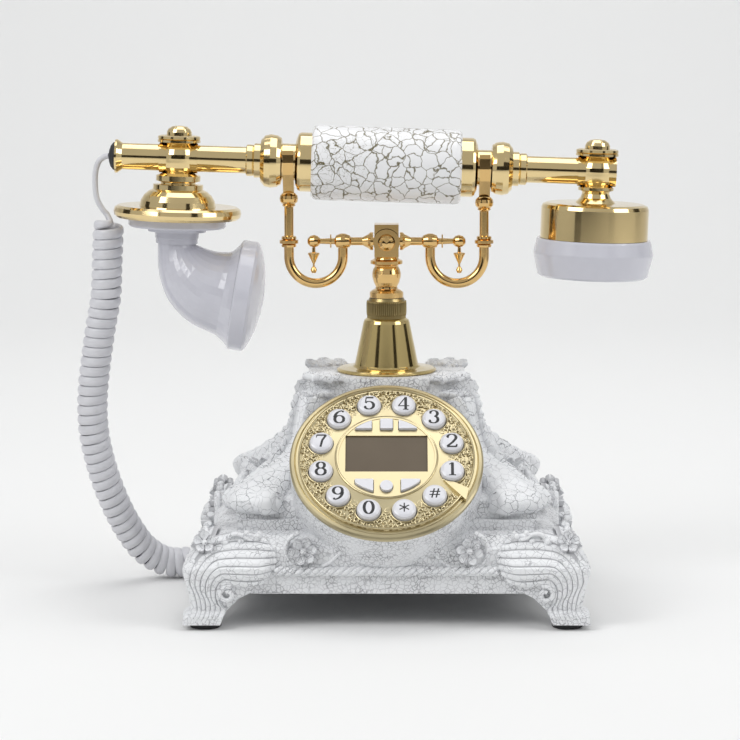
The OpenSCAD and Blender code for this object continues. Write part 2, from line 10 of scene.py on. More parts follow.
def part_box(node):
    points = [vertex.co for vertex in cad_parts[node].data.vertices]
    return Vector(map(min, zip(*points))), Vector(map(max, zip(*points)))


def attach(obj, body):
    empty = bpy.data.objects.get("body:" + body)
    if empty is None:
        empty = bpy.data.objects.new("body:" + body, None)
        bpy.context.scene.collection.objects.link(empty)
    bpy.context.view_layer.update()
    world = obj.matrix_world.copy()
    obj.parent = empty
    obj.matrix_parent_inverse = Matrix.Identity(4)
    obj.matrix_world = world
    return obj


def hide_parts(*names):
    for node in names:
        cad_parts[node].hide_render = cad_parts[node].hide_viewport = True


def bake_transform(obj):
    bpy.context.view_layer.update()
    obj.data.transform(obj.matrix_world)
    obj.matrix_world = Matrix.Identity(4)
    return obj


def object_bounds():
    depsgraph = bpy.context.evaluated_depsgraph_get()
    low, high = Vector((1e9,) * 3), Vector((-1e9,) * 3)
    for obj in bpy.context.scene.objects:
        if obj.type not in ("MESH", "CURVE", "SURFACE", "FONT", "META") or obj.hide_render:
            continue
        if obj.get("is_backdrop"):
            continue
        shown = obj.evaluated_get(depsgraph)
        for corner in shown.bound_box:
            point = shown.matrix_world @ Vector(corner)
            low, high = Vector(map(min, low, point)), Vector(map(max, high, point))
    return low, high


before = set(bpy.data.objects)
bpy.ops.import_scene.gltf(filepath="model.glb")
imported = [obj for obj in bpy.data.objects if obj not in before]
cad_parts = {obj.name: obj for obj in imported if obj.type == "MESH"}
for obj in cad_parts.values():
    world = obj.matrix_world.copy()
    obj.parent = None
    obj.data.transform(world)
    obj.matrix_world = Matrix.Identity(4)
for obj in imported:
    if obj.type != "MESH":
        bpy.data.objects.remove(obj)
cad_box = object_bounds()

# ---- Camera, table and light ----------------------------------------------------------
# A long lens a metre and a half in front of the phone, a little above it, over a pale
# table that curves up behind. Three soft boxes light it, and dark cards beside the camera
# give the polished brass something to reflect.
MM = 0.001
pillar_low, pillar_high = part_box("pillar_cone")
pillar_y = (pillar_low.y + pillar_high.y) / 2 / MM
camera_distance = 1455
camera_height = 302
aim_height = 113.4
lens = 142.7
pillar_shift = -0.0223

camera = bpy.data.objects.new("camera", bpy.data.cameras.new("camera"))
bpy.context.scene.collection.objects.link(camera)
bpy.context.scene.camera = camera
camera.location = (0, (pillar_y - camera_distance) * MM, camera_height * MM)
tilt_down = math.atan2(camera_height - aim_height, camera_distance)
camera.rotation_euler = (math.pi / 2 - tilt_down, 0, 0)
camera.data.lens = lens
camera.data.shift_x = pillar_shift
camera.data.clip_start = 0.05
camera.data.clip_end = 30
bpy.context.scene.view_settings.view_transform = "Standard"


def paint(name, colour, roughness, metallic=0.0, coat=0.0):
    """A new material with its Principled shader set, and its node tree."""
    material = bpy.data.materials.new(name)
    material.use_nodes = True
    shader = material.node_tree.nodes["Principled BSDF"]
    shader.inputs["Base Color"].default_value = (*colour, 1)
    shader.inputs["Roughness"].default_value = roughness
    shader.inputs["Metallic"].default_value = metallic
    shader.inputs["Coat Weight"].default_value = coat
    shader.inputs["Coat Roughness"].default_value = 0.06
    return material, material.node_tree, shader


def stage_sheet(name, points, faces, colour):
    """A plain stage surface that is not part of the phone."""
    mesh = bpy.data.meshes.new(name)
    mesh.from_pydata(points, [], faces)
    mesh.shade_smooth()
    sheet = bpy.data.objects.new(name, mesh)
    bpy.context.scene.collection.objects.link(sheet)
    sheet.data.materials.append(paint(name, colour, 0.85)[0])
    sheet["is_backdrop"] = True


table_end = 1.2
bend = 0.9
sweep = [(-3.0, 0), (table_end, 0)]
sweep += [(table_end + math.sin(a) * bend, bend - math.cos(a) * bend)
          for a in np.linspace(0.1, math.pi / 2, 14)]
sweep += [(table_end + bend, 4.0)]
stage_sheet("table", [(x, y, z) for y, z in sweep for x in (-4, 4)],
            [(2 * i, 2 * i + 1, 2 * i + 3, 2 * i + 2) for i in range(len(sweep) - 1)],
            (0.84, 0.84, 0.835))


def light(name, at, size, power, aim=(0, 0, 0.12)):
    """A square soft box that faces the phone."""
    lamp = bpy.data.objects.new(name, bpy.data.lights.new(name, "AREA"))
    lamp.data.shape = "SQUARE"
    lamp.data.size = size
    lamp.data.energy = power
    lamp.location = at
    lamp.rotation_euler = (Vector(aim) - Vector(at)).to_track_quat("-Z", "Y").to_euler()
    bpy.context.scene.collection.objects.link(lamp)


light("soft_box_left", (-1.1, -0.9, 1.2), 0.9, 11)
light("soft_box_right", (1.3, -0.6, 1.0), 0.8, 7)
light("backdrop_light", (0.0, 0.9, 1.6), 1.2, 5, (0, 2.1, 0.5))
light("soft_box_top", (0.1, 0.2, 1.9), 1.4, 11)

# each card by the two ends of its foot and its height
for name, (x1, y1), (x2, y2), high in (
        ("card_front", (-2.6, -3.0), (2.6, -3.0), 0.95),
        ("card_left", (-1.9, -1.9), (-1.35, -2.3), 1.6),
        ("card_right", (1.25, -2.3), (1.75, -2.0), 1.6),
        ("card_far_left", (-2.2, 0.1), (-2.2, 0.9), 1.2),
        ("card_far_right", (2.2, 0.1), (2.2, 0.9), 1.2)):
    stage_sheet(name, [(x1, y1, 0), (x2, y2, 0), (x2, y2, high), (x1, y1, high)],
                [(0, 1, 2, 3)], (0.035, 0.03, 0.022))

world = bpy.data.worlds.new("studio")
bpy.context.scene.world = world
world.use_nodes = True
sky = world.node_tree.nodes["Background"]
sky.inputs["Color"].default_value = (0.80, 0.81, 0.82, 1)
sky.inputs["Strength"].default_value = 0.67


# ---- Curly cord -----------------------------------------------------------------------
# A light grey plastic lead, flat where it is wound. It comes out of the handset's grommet,
# hangs in a curl to the table and runs under the base to its jack. The curl's turns lie
# side by side, five millimetres apart.
lead_route = [(-0.1405, 0.0055, 0.2196), (-0.1432, 0.006, 0.2165), (-0.1447, 0.007, 0.210),
              (-0.1443, 0.008, 0.200), (-0.1416, 0.0086, 0.194), (-0.1392, 0.009, 0.191)]
curl_route = [(-0.1385, 0.009, 0.188), (-0.1395, 0.010, 0.168), (-0.1405, 0.011, 0.150),
              (-0.1435, 0.0125, 0.134), (-0.1465, 0.0145, 0.115), (-0.1485, 0.017, 0.096),
              (-0.148, 0.020, 0.078), (-0.1445, 0.024, 0.060), (-0.1395, 0.028, 0.044),
              (-0.133, 0.033, 0.029), (-0.1245, 0.038, 0.016), (-0.113, 0.042, 0.0088),
              (-0.100, 0.043, 0.0088)]
tail_route = [(-0.095, 0.043, 0.0088), (-0.090, 0.043, 0.0094), (-0.085, 0.043, 0.0108),
              (-0.080, 0.043, 0.0115)]
lead_d = 0.0029
wire_wide = 0.0049
wire_thick = 0.0027
curl_out = 0.0156
turn_pitch = 0.0050
steps_a_turn = 26
ease_turns = 0.6
end_radius = 0.25
trim = 4
lead_step = 0.0006


def smooth(points, steps):
    """Points along a curve that passes through the given points."""
    p = np.array([points[0], *points, points[-1]], float)
    t = np.arange(steps)[:, None] / steps
    rows = []
    for a, b, c, d in zip(p, p[1:], p[2:], p[3:]):
        rows.append(0.5 * (2 * b + (c - a) * t + (2 * a - 5 * b + 4 * c - d) * t ** 2
                           + (3 * b - a - 3 * c + d) * t ** 3))
    return np.vstack([*rows, p[-1:]])


def unit(v):
    """The vectors at length one."""
    return v / np.maximum(np.linalg.norm(v, axis=-1, keepdims=True), 1e-12)


def evenly(points, spacing):
    """The same curve with its points an even distance apart."""
    gone = np.concatenate([[0], np.cumsum(np.linalg.norm(np.diff(points, axis=0), axis=1))])
    at = np.linspace(0, gone[-1], max(2, round(gone[-1] / spacing) + 1))
    return np.column_stack([np.interp(at, gone, points[:, k]) for k in range(points.shape[1])])


def grid_faces(rows, columns, wrap_rows=False, wrap_columns=True, first=0):
    """Quads between the points of a grid that may close on itself either way."""
    r = np.arange(rows if wrap_rows else rows - 1)
    c = np.arange(columns if wrap_columns else columns - 1)
    r, c = np.meshgrid(r, c, indexing="ij")
    r2, c2 = (r + 1) % rows, (c + 1) % columns
    quads = np.stack([r * columns + c, r * columns + c2, r2 * columns + c2, r2 * columns + c], -1)
    return (quads.reshape(-1, 4) + first).tolist()


def tube(line, wide, thick, out, sides=12):
    """Points and faces of a closed tube. wide lies across the out direction, thick along it."""
    along = unit(np.gradient(line, axis=0))
    out = np.broadcast_to(np.asarray(out, float), line.shape)
    out = unit(out - (out * along).sum(1, keepdims=True) * along)
    across = np.cross(along, out)
    wide, thick = (np.broadcast_to(v, len(line))[:, None, None] for v in (wide, thick))
    turn = np.linspace(0, 2 * math.pi, sides, endpoint=False)[:, None]
    rings = (line[:, None] + across[:, None] * np.cos(turn) * wide / 2
             + out[:, None] * np.sin(turn) * thick / 2)
    faces = grid_faces(len(line), sides)
    last = (len(line) - 1) * sides
    faces += [list(range(sides))[::-1], [last + k for k in range(sides)]]
    return rings.reshape(-1, 3), faces


def joined(parts):
    """Several closed shapes as one. A fourth value on a point is how much shade is painted into its
    glaze there.
    """
    points, faces, count = [], [], 0
    for p, f in parts:
        p = np.asarray(p, float)
        points.append(p if p.shape[1] == 4 else np.column_stack([p, np.zeros(len(p))]))
        faces += [[count + k for k in face] for face in f]
        count += len(p)
    return np.vstack(points), faces


def piece(name, points, faces, material, body=None, nodes=(), sharp=35):
    """A mesh piece with outward faces, smooth but for edges sharper than the angle."""
    points = np.asarray(points)
    mesh = bpy.data.meshes.new(name)
    mesh.from_pydata(points[:, :3].tolist(), [], faces)
    # a fourth value on the points is kept as the shade painted into their glaze
    if points.shape[1] == 4:
        mesh.attributes.new("painted_shade", "FLOAT", "POINT").data.foreach_set(
            "value", points[:, 3].astype(np.float32))
    shape = bmesh.new()
    shape.from_mesh(mesh)
    bmesh.ops.recalc_face_normals(shape, faces=shape.faces)
    shape.to_mesh(mesh)
    shape.free()
    mesh.shade_smooth()
    mesh.set_sharp_from_angle(angle=math.radians(sharp))
    mesh.materials.append(material)
    made = bpy.data.objects.new(name, mesh)
    bpy.context.scene.collection.objects.link(made)
    if body:
        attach(made, body)
    if nodes:
        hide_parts(*nodes)
    return made


def add(tree, kind, **links):
    """A node with its inputs linked to sockets or set to values."""
    node = tree.nodes.new(kind)
    for label, value in links.items():
        socket = node.inputs[int(label[1:])] if label[0] == "i" and label[1:].isdigit() \
            else node.inputs[label.replace("_", " ")]
        if isinstance(value, bpy.types.NodeSocket):
            tree.links.new(value, socket)
        else:
            socket.default_value = value
    return node


def grown(name, mesh, inputs, wire, material, body):
    """The plain mesh that a Geometry Nodes tree makes from a mesh, riding the body.

    wire(tree, sockets) adds the nodes and returns their last geometry socket."""
    tree = bpy.data.node_groups.new(name, "GeometryNodeTree")
    tree.interface.new_socket("Geometry", in_out="INPUT", socket_type="NodeSocketGeometry")
    tree.interface.new_socket("Geometry", in_out="OUTPUT", socket_type="NodeSocketGeometry")
    kinds = {bpy.types.Object: "NodeSocketObject", bpy.types.Material: "NodeSocketMaterial",
             float: "NodeSocketFloat", int: "NodeSocketInt"}
    inputs = {**inputs, "Material": material}
    known = {label: tree.interface.new_socket(label, in_out="INPUT", socket_type=next(
        kind for cls, kind in kinds.items() if isinstance(value, cls)))
        for label, value in inputs.items()}
    start = tree.nodes.new("NodeGroupInput")
    end = tree.nodes.new("NodeGroupOutput")
    real = add(tree, "GeometryNodeRealizeInstances", i0=wire(tree, start.outputs))
    dressed = add(tree, "GeometryNodeSetMaterial", Geometry=real.outputs[0],
                  Material=start.outputs["Material"])
    tree.links.new(dressed.outputs[0], end.inputs[0])
    made = bpy.data.objects.new(name, mesh)
    bpy.context.scene.collection.objects.link(made)
    grower = made.modifiers.new(name, "NODES")
    grower.node_group = tree
    for label, value in inputs.items():
        grower[known[label].identifier] = value
    bpy.context.view_layer.update()
    ready = made.evaluated_get(bpy.context.evaluated_depsgraph_get())
    result = bpy.data.meshes.new_from_object(ready)
    made.modifiers.clear()
    made.data = result
    result.name = name
    result.shade_smooth()
    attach(made, body)
    return made


def own_noise(tree, scale, detail=2.0):
    """Noise over the object's own coordinates, with this many cells to a metre."""
    place = tree.nodes.new("ShaderNodeTexCoord").outputs["Object"]
    return add(tree, "ShaderNodeTexNoise", Vector=place, Scale=scale, Detail=detail).outputs


def mottle(tree, shader, factor, low, high, at=(0, 1)):
    """Base colour that runs from low to high while the factor runs between two values."""
    tone = add(tree, "ShaderNodeValToRGB", Fac=factor)
    for element, colour, position in zip(tone.color_ramp.elements, (low, high), at):
        element.position = position
        element.color = (*colour, 1)
    tree.links.new(tone.outputs["Color"], shader.inputs["Base Color"])


def relief(tree, shader, height, strength, distance=0.0002):
    """Shallow relief in the shading, distance in metres."""
    bump = add(tree, "ShaderNodeBump", Height=height, Strength=strength, Distance=distance)
    tree.links.new(bump.outputs["Normal"], shader.inputs["Normal"])
    return bump


cord_grey, tree, shader = paint("cord_grey", (0.60, 0.60, 0.635), 0.38)
grime = own_noise(tree, 160, 4)["Fac"]
mottle(tree, shader, grime, (0.60, 0.60, 0.635), (0.72, 0.72, 0.75))
relief(tree, shader, grime, 0.12)

axis_line = evenly(smooth(curl_route, 12), turn_pitch / steps_a_turn)
travel = np.arange(len(axis_line)) / steps_a_turn
axis_along = unit(np.gradient(axis_line, axis=0))
axis_u = unit(np.cross(axis_along, (0, 1, 0)))
axis_v = np.cross(axis_along, axis_u)
turning = 2 * math.pi * travel[:, None]
outward = axis_u * np.cos(turning) + axis_v * np.sin(turning)
ease = np.clip(np.minimum(travel, travel[-1] - travel) / ease_turns, 0, 1)
ease = (ease * ease * (3 - 2 * ease))[:, None]
grow = end_radius + (1 - end_radius) * ease
helix = (axis_line + outward * (curl_out - wire_thick) / 2 * grow)[trim:-trim]

grommet_low, grommet_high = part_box("cord_grommet")
exit_point = (grommet_low.x, (grommet_low.y + grommet_high.y) / 2,
              (grommet_low.z + grommet_high.z) / 2)
lead = evenly(smooth([exit_point, *lead_route, tuple(helix[0])], 8), lead_step)[:-1]
tail = evenly(smooth([tuple(helix[-1]), *tail_route], 8), lead_step)[1:]
outward = outward[trim:-trim]
whole = np.vstack([lead, helix, tail])
facing = np.vstack([np.repeat(outward[:1], len(lead), 0), outward,
                    np.repeat(outward[-1:], len(tail), 0)])
flat = np.concatenate([np.zeros(len(lead)), ease[trim:-trim, 0], np.zeros(len(tail))])
half = len(lead) + round(len(axis_line) * 0.5)
cord_length = 0
for name, part, bodies, nodes, extras, at in (
        ("cord_upper", slice(None, half + 1), ("cradle", "handset"), ["cord_lead"],
         [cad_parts["cord_grommet"]], exit_point),
        ("cord_lower", slice(half, None), ("base", "cradle"), ["cord_curl", "cord_tail"],
         [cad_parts["cord_plug"]], tail_route[-1])):
    line = whole[part]
    points, faces = tube(line, lead_d + (wire_wide - lead_d) * flat[part],
                         lead_d + (wire_thick - lead_d) * flat[part], facing[part])
    made = piece(name, points, faces, cord_grey)
    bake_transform(made)
    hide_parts(*nodes)
    span = float(np.linalg.norm(np.diff(line, axis=0), axis=1).sum())
    cord_length += span
print("cord length", round(cord_length, 3))


# ---- Base casting ---------------------------------------------------------------------
# One hollow resin casting: a skirt on four legs, a flared tower and the round housing of
# the dial. It's glazed white, and the glaze has dried in a fine dark crackle.
def ranged(tree, value, low, high, to_low, to_high):
    """The value with low to high stretched over to_low to to_high, and clamped there."""
    return add(tree, "ShaderNodeMapRange", Value=value, From_Min=low, From_Max=high,
               To_Min=to_low, To_Max=to_high).outputs["Result"]


def maths(tree, operation, first, second):
    """The outcome of a Math node on two values."""
    node = add(tree, "ShaderNodeMath", i0=first, i1=second)
    node.operation = operation
    return node.outputs[0]


def cracked(name, cell, gap, white, line, roughness, patchy=0.5, bump=0.35, wobble=0.9):
    """White glaze with a network of fine dark cracks about one cell apart, in metres, and the shade
    painted on a piece's points laid over them.
    """
    material, tree, shader = paint(name, white, roughness)
    place = tree.nodes.new("ShaderNodeTexCoord").outputs["Object"]
    wander = add(tree, "ShaderNodeTexNoise", Vector=place, Scale=0.55 / cell, Detail=5)
    centred = add(tree, "ShaderNodeVectorMath", i0=wander.outputs["Color"], i1=(0.5, 0.5, 0.5))
    centred.operation = "SUBTRACT"
    bent = add(tree, "ShaderNodeVectorMath", i0=centred.outputs[0], i1=(cell * wobble,) * 3,
               i2=place)
    bent.operation = "MULTIPLY_ADD"
    lines = []
    for scale, width in ((1 / cell, gap), (2.3 / cell, gap * 0.5)):
        cells = add(tree, "ShaderNodeTexVoronoi", Vector=bent.outputs[0], Scale=scale,
                    Randomness=1)
        cells.feature = "DISTANCE_TO_EDGE"
        lines.append(ranged(tree, cells.outputs["Distance"], width * 0.25, width, 1, 0))
    areas = own_noise(tree, 0.22 / cell)["Fac"]
    big = maths(tree, "MULTIPLY", lines[0], ranged(tree, areas, 0.35, 0.65, 1 - patchy, 1))
    small = maths(tree, "MULTIPLY", lines[1], ranged(tree, areas, 0.45, 0.62, 0, 0.75))
    crack = maths(tree, "MAXIMUM", big, small)
    # shade painted into creases, under ornament and where pieces meet, read from the points; the
    # darker of it and the cracks sets the colour
    painted_shade = tree.nodes.new("ShaderNodeAttribute")
    painted_shade.attribute_name = "painted_shade"
    cracks_and_shade = maths(tree, "MAXIMUM", crack, painted_shade.outputs["Fac"])
    mottle(tree, shader, cracks_and_shade, white, line)
    relief(tree, shader, crack, bump, 0.0003).invert = True
    return material


def dress(material, *nodes):
    """Gives the CAD nodes their material."""
    for node in nodes:
        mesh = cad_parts[node].data
        mesh.materials.clear()
        mesh.materials.append(material)


glaze = cracked("crackle_glaze", 0.0021, 0.095, (0.82, 0.83, 0.845), (0.30, 0.30, 0.32), 0.42,
                patchy=0.75, bump=0.2)
broad_glaze = cracked("crackle_glaze_broad", 0.0042, 0.042, (0.84, 0.85, 0.865),
                      (0.17, 0.17, 0.19), 0.42, patchy=0.7, bump=0.25, wobble=1.4)
relief_glaze = cracked("crackle_glaze_relief", 0.0030, 0.05, (0.84, 0.85, 0.865),
                       (0.27, 0.27, 0.29), 0.42, patchy=0.9, bump=0.15)
grip_glaze = cracked("crackle_glaze_grip", 0.0062, 0.052, (0.84, 0.84, 0.85),
                     (0.13, 0.11, 0.045), 0.14, patchy=0.1, wobble=1.7)
dress(glaze, "base_casting")


def world_points(points):
    """Frame metres from millimetres about the pillar's axis. A fourth value stays as it is."""
    p = np.array(points, float)
    p = p.reshape(-1, p.shape[-1])
    p[:, :3] = (p[:, :3] + (0, pillar_y, 0)) * MM
    return p


def slab(front, back, painted_shade=0.0, back_shade=0.5):
    """A closed sheet between two grids of points, with the shade painted into its glaze: as given
    on the front, and on the back, where it lies on the casting.
    """
    rows, columns = front.shape[:2]
    points = np.concatenate([front.reshape(-1, 3), back.reshape(-1, 3)])
    # the back lies on the casting and takes painted shade there
    tone = np.full(len(points), back_shade)
    tone[:rows * columns] = np.broadcast_to(painted_shade, (rows, columns)).ravel()
    points = np.column_stack([points, tone])
    count = rows * columns
    faces = grid_faces(rows, columns, wrap_columns=False)
    faces += [[k + count for k in f[::-1]] for f in faces]
    rim = ([(r, 0) for r in range(rows)] + [(rows - 1, c) for c in range(1, columns)]
           + [(r, columns - 1) for r in range(rows - 2, -1, -1)]
           + [(0, c) for c in range(columns - 2, 0, -1)])
    edge = [r * columns + c for r, c in rim]
    faces += [[a, b, b + count, a + count] for a, b in zip(edge, edge[1:] + edge[:1])]
    return points, faces


def curve(points, t):
    """Points at parameters 0 to 1 of a smooth curve through the given points."""
    line = smooth(points, 16)
    at = np.linspace(0, 1, len(line))
    return np.column_stack([np.interp(t, at, line[:, k]) for k in range(line.shape[1])])


corners = [("left_front", -1, -1), ("right_front", 1, -1), ("left_back", -1, 1),
           ("right_back", 1, 1)]


def mirrored(points, sx, sy):
    """Points made for the left front corner, moved to the corner with these signs."""
    return np.asarray(points, float) * (-sx, -sy, 1, 1)


# ---- Wing feet ------------------------------------------------------------------------
# Each leg wears a folded wing on both of its outer faces, cast with it. The feathers fan
# out from the skirt and run down the leg to the toe.
wing_upper = [(-60, 43.5), (-66, 45), (-76, 44.6), (-86, 41.5), (-93, 34.5), (-95.8, 26),
              (-93.6, 18), (-92, 10), (-95, 4)]
wing_lower = [(-61, 21.5), (-66, 20), (-71, 20.5), (-76, 21.5), (-79, 17.5), (-78.4, 12),
              (-76.5, 8.5), (-78.5, 5.5), (-80, 3.4)]
# how far out the leg's face stands at each height
leg_z = [0, 2.8, 6.5, 9, 20, 29, 38, 43.5, 46]
leg_y = [90, 90, 89.6, 84.5, 86, 88.5, 81, 77, 76]
skirt_y = 81.6
leg_limit = 88.2
front_limit = 89.9
side_limit = 96.95
side_shift = 7
sunk = 0.4
feathers = 7
s = np.linspace(0, 1, 150)
upper, lower = curve(wing_upper, s), curve(wing_lower, s)
S, T = np.meshgrid(s, np.linspace(0, 1, 97), indexing="ij")
plan = upper[:, None] * (1 - T[..., None]) + lower[:, None] * T[..., None]
lane = T * feathers
across_lane = np.abs(lane - np.floor(lane) - 0.5) * 2
ridge = np.sqrt(np.clip(1 - across_lane ** 2, 0, 1))
fan = np.clip(1 - S / 0.34, 0, 1) ** 1.6
plan[..., 0] += (7.0 * np.sin(np.pi * T) ** 0.8 + 1.3 * ridge) * fan
barbs = 0.12 * np.sin(S * 120 + across_lane * 3) * np.clip(1 - S / 0.5, 0, 1)
scales = 0.5 * np.sin(S * 60) * np.sin(lane * math.pi * 2) * np.exp(-((S - 0.45) / 0.12) ** 2)
swell = 1.1 * np.sin(np.pi * T) ** 0.6 * np.clip(S / 0.05, 0.35, 1)
height = swell + (1.5 - 0.5 * S) * ridge + barbs + 0.7 * scales
out = np.interp(plan[..., 1], leg_z, leg_y)
skirt_face = np.clip((-plan[..., 0] - 52.5) / 9, 0, 1)
skirt_face = skirt_face * skirt_face * (3 - 2 * skirt_face)
ground = np.minimum(out, leg_limit) * skirt_face + skirt_y * (1 - skirt_face)
face_y = np.minimum(ground + height, front_limit + 0.1 * skirt_face)
edge = np.clip(np.minimum(T, 1 - T) / 0.03, 0, 1)
face_y = ground - sunk + (face_y - ground + sunk) * (0.25 + 0.75 * edge)
front = np.stack([plan[..., 0], -face_y, plan[..., 1]], -1)
back = front.copy()
back[..., 1] = -(ground - 2.4)
# shade painted into the grooves between the feathers
groove_shade = np.clip((across_lane - 0.84) / 0.12, 0, 1) * 0.8 * np.clip(S / 0.03, 0, 1)
wing, wing_faces = slab(front, back, groove_shade)
side_wing = wing[:, [1, 0, 2, 3]] + (-side_shift, side_shift, 0, 0)
side_wing[:, 0] = np.maximum(side_wing[:, 0], -side_limit)
points, faces = joined([(wing, wing_faces), (side_wing, wing_faces)])
for name, sx, sy in corners:
    piece("wing_" + name, world_points(mirrored(points, sx, sy)), faces, relief_glaze,
          "base", sharp=60)


# ---- Corner consoles ------------------------------------------------------------------
# A scrolled console stands on each corner of the tower, cast with it: a concave ribbon
# between two raised ribs that widens downwards and rolls up into a fat volute.
spine = [(-37.5, 105.5), (-39.5, 98), (-41, 91), (-42.5, 84), (-45.5, 77), (-51.5, 70.5),
         (-58.5, 65), (-63, 62.2)]
core_y = 9.0
line = curve(spine, np.linspace(0, 1, 110))
roll = np.linspace(0, 1.5 * math.pi, 40)[1:]
roll_r = 5.2 * (1 - roll / (3.4 * math.pi))
roll_at = (line[-1][0] + 0.5, line[-1][1] - 5.4)
line = np.vstack([line, np.column_stack([roll_at[0] - np.sin(roll) * roll_r,
                                         roll_at[1] + np.cos(roll) * roll_r])])
heading = unit(np.gradient(line, axis=0))
rise = np.column_stack([heading[:, 1], -heading[:, 0]])
q = np.linspace(0, 1, len(line))
breadth = np.interp(q, [0, 0.12, 0.35, 0.62, 0.8, 1], [8.5, 6.5, 6.2, 12.5, 16, 16.5])
C, Q = np.meshgrid(np.linspace(-1, 1, 41), q)
rib = np.exp(-((np.abs(C) - 0.80) / 0.13) ** 2)
inner_rib = np.exp(-((np.abs(C) - 0.42) / 0.10) ** 2)
scallop = 1 + 0.16 * np.sin(Q * 95)
belly = np.clip((Q - 0.42) / 0.2, 0, 1)
lift = (0.4 + 2.0 * np.clip(1 - np.abs(C) * 1.2, 0, 1) + 3.2 * rib * scallop * (1 - 0.6 * belly)
        + 1.2 * inner_rib * (1 - belly))
bulge = 4.6 * (1 - C ** 2) ** 0.8 * belly * belly * (3 - 2 * belly)
lift *= np.clip(Q / 0.04, 0.3, 1)


def console(lifted):
    """The grid of a console surface raised above its spine, in pillar millimetres."""
    along = line[:, None] + rise[:, None] * lifted[..., None]
    along[..., 0] -= bulge
    side = C * breadth[:, None]
    x = along[..., 0] + side / math.sqrt(2)
    y = along[..., 0] + core_y - side / math.sqrt(2)
    return np.stack([x, y, np.broadcast_to(along[..., 1], x.shape)], -1)


# shade painted into the grooves beside the raised ribs, though not on the volute's belly, and on
# the console's back where it meets the tower
groove_shade = np.clip(1 - np.abs(np.abs(C) - 0.61) / 0.05, 0, 1) * 0.6 * (1 - belly)
depth = np.interp(q, [0, 0.7, 0.735, 1], [1, 1, 0.1, 0])[:, None]
core_at = np.array([roll_at[0], roll_at[0] + core_y, roll_at[1]])
core_along = np.array([1.0, -1.0, 0.0]) / math.sqrt(2)
# the volute's core: places along it and its thickness there
core = np.array([(-16.6, 3), (-16.4, 5), (-15.2, 7), (-15.0, 9.4), (15.0, 9.4), (15.2, 7),
                 (16.4, 5), (16.6, 3)])
points, faces = joined([
    slab(console(lift), console(-2.4 - np.abs(C) * breadth[:, None] * depth), groove_shade, 0.3),
    tube(core_at + np.outer(core[:, 0], core_along), core[:, 1], core[:, 1], (0, 0, 1), 24)])
for name, sx, sy in corners:
    piece("console_" + name, world_points(mirrored(points, sx, sy)), faces, broad_glaze,
          "base", sharp=60)


# ---- Scrolls, leaves and flowers ------------------------------------------------------
# Smaller ornament cast with the base: leaves on the platform, buds and crests beside the
# volutes, flowers, scrolls and a twisted rope round the skirt.
def scroll(points, wide, thick, out, steps=8, sides=10):
    """A smooth strand through the points, as wide and thick as the numbers along it say."""
    track = evenly(smooth(points, steps), 0.8)
    at = np.linspace(0, 1, len(track))
    return tube(track, np.interp(at, np.linspace(0, 1, len(wide)), wide),
                np.interp(at, np.linspace(0, 1, len(thick)), thick), out, sides)


def spiral(centre, across, up, radius, start, turns, shrink=0.75):
    """Points of a spiral in the plane of across and up, angles in degrees."""
    a = np.radians(start + np.linspace(0, 360 * turns, max(6, round(abs(turns) * 14))))
    r = radius * (1 - shrink * np.linspace(0, 1, len(a)))
    return (np.asarray(centre, float) + np.outer(np.cos(a) * r, across)
            + np.outer(np.sin(a) * r, up))


def leaf(root, along, normal, length, width, curl=0.25, lobes=4, depth=1.6, ribs=3):
    """An acanthus leaf with lobed edges and ribs that curls up at its tip, with shade painted
    between its ribs.
    """
    along, normal = (unit(np.asarray(v, float)) for v in (along, normal))
    across = np.cross(along, normal)
    s, t = np.linspace(0, 1, 34), np.linspace(-1, 1, 25)
    T, S = np.meshgrid(t, s)
    lobe = 1 + 0.22 * np.abs(np.sin(S * math.pi * lobes)) * np.abs(T)
    w = width * np.sin(math.pi * np.clip(S, 0.02, 0.99) ** 0.72) ** 0.7 * lobe
    fold = np.cos(T * math.pi * ribs + S * 3) ** 2
    rise = (depth * (1 - T ** 2) ** 0.5 * np.sin(math.pi * np.clip(S, 0.05, 0.97)) ** 0.5
            + 0.35 * depth * fold
            + 0.3 * depth * np.abs(np.sin(S * math.pi * lobes)) * np.abs(T)
            + curl * length * S ** 2.5)
    under = np.minimum(rise - 1.0, curl * length * S ** 2.5) - 0.6
    reach = length * (S + 0.05 * np.abs(np.sin(S * math.pi * lobes)) * np.abs(T))
    middle = np.asarray(root, float) + reach[..., None] * along
    sideways = (w * T / 2)[..., None] * across
    # shade painted into the troughs between the ribs, fading towards the leaf's sides
    vein_shade = 0.5 * np.clip(0.35 - fold, 0, 1) / 0.35
    return slab(middle + sideways + rise[..., None] * normal,
                middle + sideways * 0.97 + under[..., None] * normal,
                vein_shade * np.clip(1 - np.abs(T), 0, 1))


def blob(centre, radii, axes=np.eye(3)):
    """A closed rounded lump with the given radii along three axes."""
    rings, sides = 8, 14
    a, b = np.meshgrid(np.linspace(0, math.pi, rings + 2),
                       np.linspace(0, 2 * math.pi, sides, endpoint=False), indexing="ij")
    sphere = np.stack([np.sin(a) * np.cos(b), np.sin(a) * np.sin(b), np.cos(a)], -1)
    sphere = (sphere * radii) @ np.asarray(axes, float) + np.asarray(centre, float)
    points = np.vstack([sphere[0, :1], sphere[1:-1].reshape(-1, 3), sphere[-1, :1]])
    faces = grid_faces(rings, sides, first=1)
    last = len(points) - 1
    faces += [[0, 1 + k, 1 + (k + 1) % sides] for k in range(sides)]
    faces += [[last, last - sides + (k + 1) % sides, last - sides + k] for k in range(sides)]
    return points, faces


